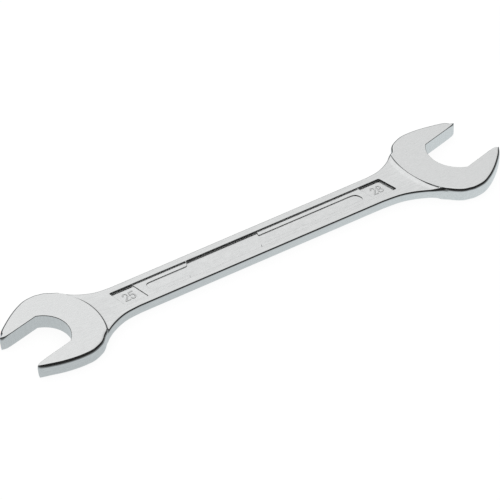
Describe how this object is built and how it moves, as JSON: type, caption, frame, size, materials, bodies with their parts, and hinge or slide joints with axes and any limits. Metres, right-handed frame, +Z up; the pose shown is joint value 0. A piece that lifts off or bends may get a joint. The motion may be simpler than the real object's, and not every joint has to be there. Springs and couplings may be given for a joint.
{
  "type": "double open-end wrench",
  "caption": "Flat chrome-plated double open-end wrench with 25 mm and 28 mm jaws set at 15 degrees to a recessed shank.",
  "frame": {"origin": "middle of the wrench's plan outline, in the plane that the undersides of both heads rest on", "axes": "+X along the shank towards the 28 mm head, +Y across the shank, +Z up through the thickness"},
  "size_m": [0.2786, 0.056, 0.008],
  "materials": {
    "satin_chrome": "satin chrome plate over forged steel, with finely ground head faces"
  },
  "bodies": {
    "root": {"jaw_head_25": "satin_chrome", "shank": "satin_chrome", "jaw_head_28": "satin_chrome"}
  },
  "joints": []
}
